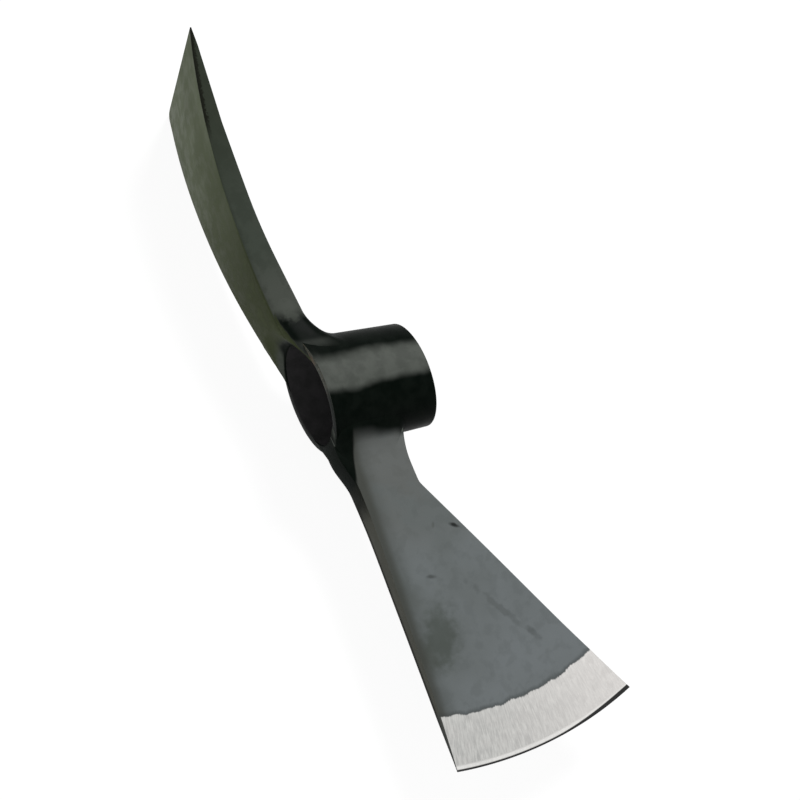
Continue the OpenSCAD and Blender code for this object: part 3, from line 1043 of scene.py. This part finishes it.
# Centre, size, turn, raggedness, share and colour of each blemish.
blemishes = [
    ((101, -12, 4), (17, 11, 6), 0.5, 0.9, 0.7, (0.062, 0.072, 0.062)),
    ((104, -20, 4), (9, 6, 6), -0.4, 0.7, 0.5, (0.075, 0.084, 0.074)),
    ((64.2, 11.1, 4), (3.4, 1.1, 6), -0.9, 0.9, 0.95, (0.020, 0.022, 0.021)),
    ((78.7, -6.0, 4), (2.6, 1.2, 6), -1.25, 0.8, 0.7, (0.055, 0.060, 0.058)),
    ((61.1, 2.8, 4), (2.0, 1.0, 6), 0.4, 0.6, 0.5, (0.070, 0.075, 0.070)),
    ((98.7, 14.8, 4), (18, 1.8, 6), -0.54, 2.0, 0.40, (0.075, 0.082, 0.080)),
    ((112.2, 23.4, 4), (6.0, 2.0, 6), -0.5, 1.4, 0.40, (0.060, 0.066, 0.064)),
]
for centre, size, turn, ragged, share, dark in blemishes:
    mask = use(tree, stain, Place=place, Centre=centre, Size=size, Turn=turn, Ragged=ragged)["Mask"]
    colour = blend(tree, calc(tree, "MULTIPLY", mask, share), colour, dark)
print("faces of the axe:", len(blemishes), "blemishes")

# %% [markdown]
# The narrow upper side is olive-brown, with a soft strip beside it and a dark line on its far corner. The
# lacquer of the eye runs out over the root, and close to the eye the upper side is painted nearly black as shade
# where it meets the eye. A painted highlight lies along the long lower ridge, on faces turned to the key lamp.

# %% Darken the sides and the root of the axe, paint shade by the eye and a highlight on the ridge
strip_slope, strip_y, arris_slope, arris_z = 0.0662, 14.9, -0.0384, 7.49
from_top = calc(tree, "MULTIPLY_ADD", x, strip_slope, calc(tree, "ADD", y, strip_y))
colour = blend(tree, ramp(tree, from_top, 9.0, 1.0, 0.0, 0.45), colour, (0.060, 0.066, 0.060))
colour = blend(tree, ramp(tree, from_top, 4.0, 0.5, 0.0, 0.7), colour, (0.050, 0.052, 0.044))
# Painted shade: the upper side turns nearly black close to the eye.
upper_side = ramp(tree, out_y, -0.15, -0.7)
dark = blend(tree, ramp(tree, x, 42.0, 54.0), (0.009, 0.010, 0.008), (0.072, 0.073, 0.062))
over_arris = calc(tree, "MULTIPLY_ADD", x, arris_slope, calc(tree, "ADD", z, arris_z))
dark = blend(tree, ramp(tree, over_arris, 3.2, 1.6, 0.0, 0.85), dark, (0.010, 0.010, 0.008))
colour = blend(tree, calc(tree, "MULTIPLY", upper_side, 0.92), colour, dark)
run_out = calc(tree, "ADD", reach, ramp(tree, clouds, 0.0, 1.0, -0.5, 0.5))
# Painted shade: the black reaches further along the upper side, where it meets the eye.
run_out = calc(tree, "SUBTRACT", run_out, ramp(tree, y, -14.0, -20.0, 0.0, 16.0))
lacquered = ramp(tree, run_out, 26.5, 23.0)
black = use(tree, lacquer_and_reflection, Facing=facing, Reach=reach, Clouds=clouds, Spots=spots)["Colour"]
colour = lacquer_over(tree, shader, lacquered, colour, black)
# Painted highlight: a light line along the lower ridge, on faces turned towards the key lamp.
ridge = calc(tree, "MULTIPLY", ramp(tree, out_y, 0.25, 0.5), ramp(tree, x, 48.0, 56.0, 0.0, 0.8))
colour = blend(tree, ridge, colour, (0.42, 0.43, 0.42))
print("sides of the axe:", len(tree.nodes), "nodes")

# %% [markdown]
# On the ground edge the steel is bare: brighter towards the lower corner, with the marks of the wheel, a bright
# strip where it was honed and a dark lip. The upper side keeps its scale.

# %% Grind the edge of the axe
edge = use(tree, ground_edge, Place=place)
bare = blend(tree, edge["Marks"], (0.38, 0.38, 0.37), (0.54, 0.54, 0.52))
bare = blend(tree, ramp(tree, y, -20.0, 55.0, 0.0, 0.6), bare, (0.74, 0.71, 0.69))
bare = blend(tree, ramp(tree, spots, 0.45, 1.0, 0.0, 0.3), bare, (0.40, 0.39, 0.38))
bare = blend(tree, calc(tree, "MULTIPLY", edge["Strip"], 0.5), bare, (0.85, 0.84, 0.82))
bare = blend(tree, edge["Lip"], bare, (0.03, 0.03, 0.03))
colour = blend(tree, calc(tree, "MULTIPLY", edge["Border"], 0.5), colour, (0.050, 0.055, 0.054))
ground = calc(tree, "MULTIPLY", edge["Ground"], calc(tree, "SUBTRACT", 1.0, upper_side))
colour = blend(tree, ground, colour, bare)
feed(tree, shader.inputs["Metallic"], calc(tree, "MULTIPLY", ground, 0.85))
rough = calc(tree, "MULTIPLY_ADD", ground, -0.05, ramp(tree, spots, 0.0, 1.0, 0.45, 0.58))
height = blend(tree, ground, calc(tree, "MULTIPLY_ADD", grain, 0.35, spots), edge["Marks"])
end_finish(tree, shader, colour, rough, height, 0.07)
print("finish of the axe has", len(tree.nodes), "nodes")

# %% [markdown]
# Each piece takes its finish. The fillets go with their blades, so that no joint shows.

# %% Dress the pieces


def dress(piece, finish):
    piece.data.materials.clear()
    piece.data.materials.append(finish)


dress(eye, lacquer)
for piece in (hoe, hoe_fillet):
    dress(piece, olive)
for piece in (axe, upper_fillet, lower_fillet):
    dress(piece, slate)
print("finishes:", [m.name for m in bpy.data.materials])
